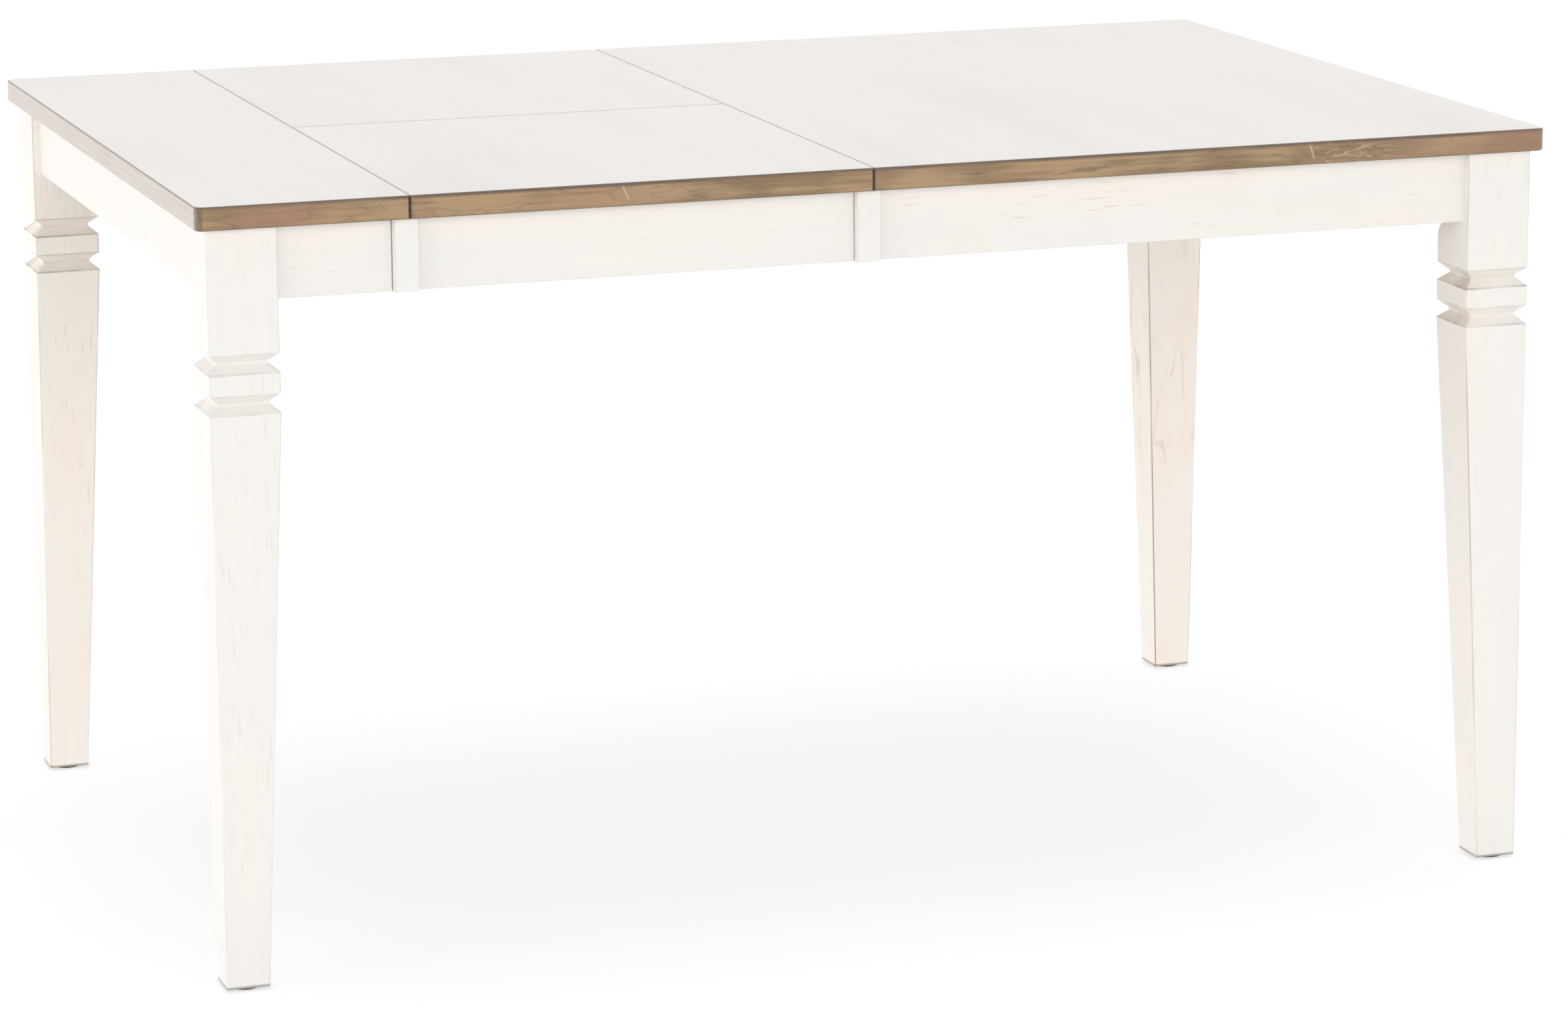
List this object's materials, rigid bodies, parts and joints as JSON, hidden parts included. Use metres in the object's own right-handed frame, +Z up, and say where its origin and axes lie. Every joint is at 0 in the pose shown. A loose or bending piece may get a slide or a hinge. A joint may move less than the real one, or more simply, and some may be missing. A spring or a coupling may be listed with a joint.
{
  "type": "butterfly leaf dining table",
  "caption": "Rectangular extending dining table with tapered grooved legs, a sliding end section, a leaf that folds in half, and aprons that fold in under it.",
  "frame": {"origin": "on the floor under the middle of the opened top", "axes": "+X along the table from the sliding end section to the main section, +Y from the front to the rear, +Z up"},
  "size_m": [1.3716, 0.9144, 0.7556],
  "materials": {
    "top_wood": "satin",
    "whitewashed_wood": "satin",
    "slide_wood": "waxed",
    "frame_wood": "bare",
    "zinc_steel": "zinc plated",
    "hinge_brass": "satin",
    "glide_plastic": "matte"
  },
  "bodies": {
    "main_section": {"main_top": "top_wood", "rear_main_leg": "whitewashed_wood", "front_main_leg": "whitewashed_wood", "rear_main_apron": "whitewashed_wood", "front_main_apron": "whitewashed_wood", "main_end_apron": "whitewashed_wood", "rear_main_stile": "whitewashed_wood", "front_main_stile": "whitewashed_wood", "rear_guide_rail": "slide_wood", "front_guide_rail": "slide_wood", "main_corner_blocks": "frame_wood", "main_hanger_bolts": "zinc_steel", "main_bolt_nuts": "zinc_steel", "main_glides": "glide_plastic", "main_top_clips": "zinc_steel", "main_clip_screws": "zinc_steel", "guide_rail_screws": "zinc_steel", "storage_battens": "frame_wood", "batten_screws": "zinc_steel", "main_leaf_ledge": "frame_wood"},
    "end_section": {"end_top": "top_wood", "rear_end_leg": "whitewashed_wood", "front_end_leg": "whitewashed_wood", "rear_end_side_apron": "whitewashed_wood", "front_end_side_apron": "whitewashed_wood", "end_apron": "whitewashed_wood", "end_cross_rail": "frame_wood", "rear_runner": "slide_wood", "front_runner": "slide_wood", "runner_screws": "zinc_steel", "end_corner_blocks": "frame_wood", "end_hanger_bolts": "zinc_steel", "end_bolt_nuts": "zinc_steel", "end_glides": "glide_plastic", "end_top_clips": "zinc_steel", "end_clip_screws": "zinc_steel", "end_leaf_ledges": "frame_wood", "turn_button_screws": "zinc_steel", "rear_hinge_bases": "zinc_steel", "front_hinge_bases": "zinc_steel", "rear_hinge_pins": "zinc_steel", "front_hinge_pins": "zinc_steel"},
    "leaf_rear": {"rear_leaf_half": "top_wood", "rear_leaf_barrels": "hinge_brass"},
    "leaf_front": {"front_leaf_half": "top_wood", "front_leaf_barrels": "hinge_brass"},
    "rear_leaf_skirt": {"rear_leaf_apron": "whitewashed_wood", "rear_leaf_stile": "whitewashed_wood", "rear_hinge_brackets": "zinc_steel"},
    "front_leaf_skirt": {"front_leaf_apron": "whitewashed_wood", "front_leaf_stile": "whitewashed_wood", "front_hinge_brackets": "zinc_steel"},
    "rear_button": {"rear_turn_button": "frame_wood"},
    "front_button": {"front_turn_button": "frame_wood"}
  },
  "joints": [
    {"name": "end_slide", "type": "slide", "parent": "main_section", "child": "end_section", "axis": [-1, 0, 0], "range_m": [0, 0.06]},
    {"name": "leaf_lift", "type": "slide", "parent": "main_section", "child": "leaf_rear", "axis": [0, 0, 1], "range_m": [0, 0.2]},
    {"name": "leaf_fold", "type": "hinge", "parent": "leaf_rear", "child": "leaf_front", "pos_m": [-0.254, 0, 0.75615], "axis": [-1, 0, 0], "range_deg": [0, 180]},
    {"name": "front_apron_fold", "type": "hinge", "parent": "end_section", "child": "front_leaf_skirt", "pos_m": [-0.254, -0.40095, 0.7159], "axis": [1, 0, 0], "range_deg": [0, 90]},
    {"name": "rear_apron_fold", "type": "hinge", "parent": "end_section", "child": "rear_leaf_skirt", "pos_m": [-0.254, 0.40095, 0.7159], "axis": [-1, 0, 0], "range_deg": [0, 90]},
    {"name": "front_button_turn", "type": "hinge", "parent": "end_section", "child": "front_button", "pos_m": [-0.5326, -0.23995, 0.72765], "axis": [0, 0, 1], "range_deg": [0, 90]},
    {"name": "rear_button_turn", "type": "hinge", "parent": "end_section", "child": "rear_button", "pos_m": [-0.5326, 0.23995, 0.72765], "axis": [0, 0, -1], "range_deg": [0, 90]}
  ]
}
